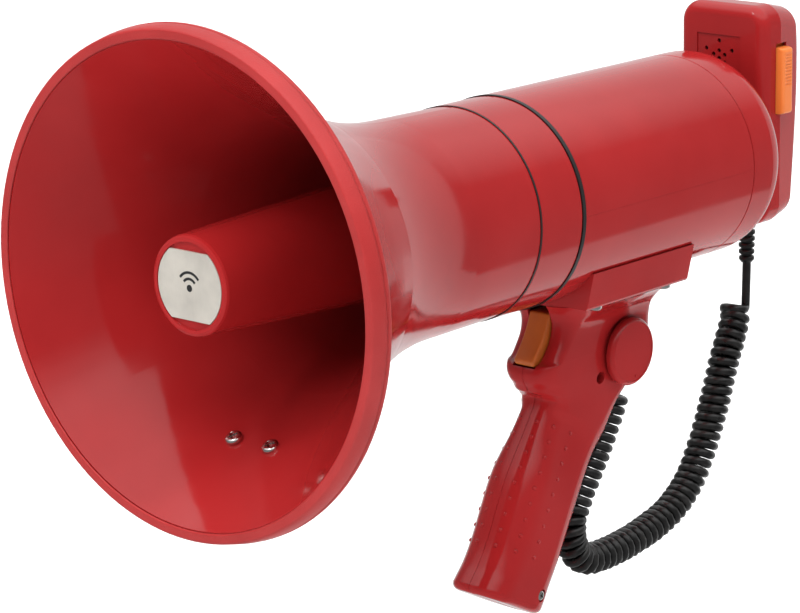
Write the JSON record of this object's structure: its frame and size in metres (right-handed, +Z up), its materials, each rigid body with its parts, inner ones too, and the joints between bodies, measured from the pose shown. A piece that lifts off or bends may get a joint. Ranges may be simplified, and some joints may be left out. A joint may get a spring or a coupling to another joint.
{
  "type": "megaphone",
  "caption": "Hand-held megaphone with a folded horn, a trigger grip, a volume knob and a hand microphone on a curly cord hung on its rear cap.",
  "frame": {"origin": "middle of the hand grip, on the seam between its halves", "axes": "+Y runs from the horn's mouth back along its axis to the microphone, +Z is up, +X is the volume knob's side"},
  "size_m": [0.23, 0.4324, 0.3252],
  "materials": {
    "body_red": "glossy moulded red shell with light scuffs",
    "rim_red": "fine-grained red guard",
    "inner_black": "plain black moulding",
    "plate_metal": "brushed",
    "screw_chrome": "bright plated",
    "diaphragm_film": "brown film",
    "copper": "enamelled copper wire",
    "steel": "zinc plated",
    "magnet": "dark ferrite",
    "gasket_rubber": "satin",
    "board_green": "lacquered board",
    "heat_sink": "matt",
    "cell_jacket": "plain dark sleeve",
    "contact_brass": "nickelled",
    "trigger_orange": "fine pebble grain",
    "button_orange": "satin",
    "cord_black": "glossy jacket"
  },
  "bodies": {
    "megaphone": {"rim_guard": "rim_red", "horn_bell": "body_red", "throat_tube": "inner_black", "reflector_cone": "body_red", "name_plate": "plate_metal", "reflector_stays": "inner_black", "horn_screws": "screw_chrome", "horn_nuts": "screw_chrome", "driver_front_plate": "inner_black", "driver_diaphragm": "diaphragm_film", "voice_coil": "copper", "driver_top_plate": "steel", "driver_magnet": "magnet", "driver_yoke": "steel", "front_gasket": "gasket_rubber", "middle_band": "body_red", "rear_gasket": "gasket_rubber", "rear_case": "body_red", "bulkhead": "inner_black", "amplifier_board": "board_green", "heat_sink": "heat_sink", "output_transformer": "steel", "capacitors": "inner_black", "battery_holder": "inner_black", "battery_cells": "cell_jacket", "cell_contacts": "contact_brass", "saddle": "body_red", "saddle_screws": "screw_chrome", "grip_left": "body_red", "grip_right": "body_red", "handle_screws": "screw_chrome", "trigger_pin": "steel", "trigger_spring": "steel", "talk_switch": "inner_black", "volume_control": "inner_black", "cord_gland": "cord_black", "cord_curl": "cord_black"},
    "trigger": {"trigger": "trigger_orange"},
    "volume_knob": {"volume_knob": "body_red", "knob_spindle": "steel"},
    "rear_cap": {"battery_cover": "body_red", "cover_seal": "gasket_rubber", "mic_hanger": "inner_black", "hanger_screws": "screw_chrome", "cord_lead": "cord_black"},
    "microphone": {"mic_back_shell": "body_red", "mic_front_shell": "body_red", "mic_clip": "inner_black", "mic_element": "heat_sink", "mic_board": "board_green", "mic_screws": "screw_chrome", "mic_boot": "cord_black", "mic_switch_spring": "steel"},
    "talk_bar": {"mic_switch": "button_orange"}
  },
  "joints": [
    {"name": "trigger_pull", "type": "hinge", "parent": "megaphone", "child": "trigger", "pos_m": [0, 0.0129, 0.0835], "axis": [1, 0, 0], "range_deg": [0, 7], "stiffness_Nm_per_rad": 0.3, "deforming": ["trigger_spring"]},
    {"name": "volume_turn", "type": "hinge", "parent": "megaphone", "child": "volume_knob", "pos_m": [0.0215, 0.0514, 0.0604], "axis": [1, 0, 0], "range_deg": [0, 270]},
    {"name": "cap_slide", "type": "slide", "parent": "megaphone", "child": "rear_cap", "axis": [0, 1, 0], "range_m": [0, 0.03]},
    {"name": "mic_lift", "type": "slide", "parent": "rear_cap", "child": "microphone", "axis": [0, 0, 1], "range_m": [0, 0.025]},
    {"name": "talk_press", "type": "slide", "parent": "microphone", "child": "talk_bar", "axis": [-1, 0, 0], "range_m": [0, 0.0025], "stiffness_N_per_m": 800, "deforming": ["mic_switch_spring"]}
  ]
}
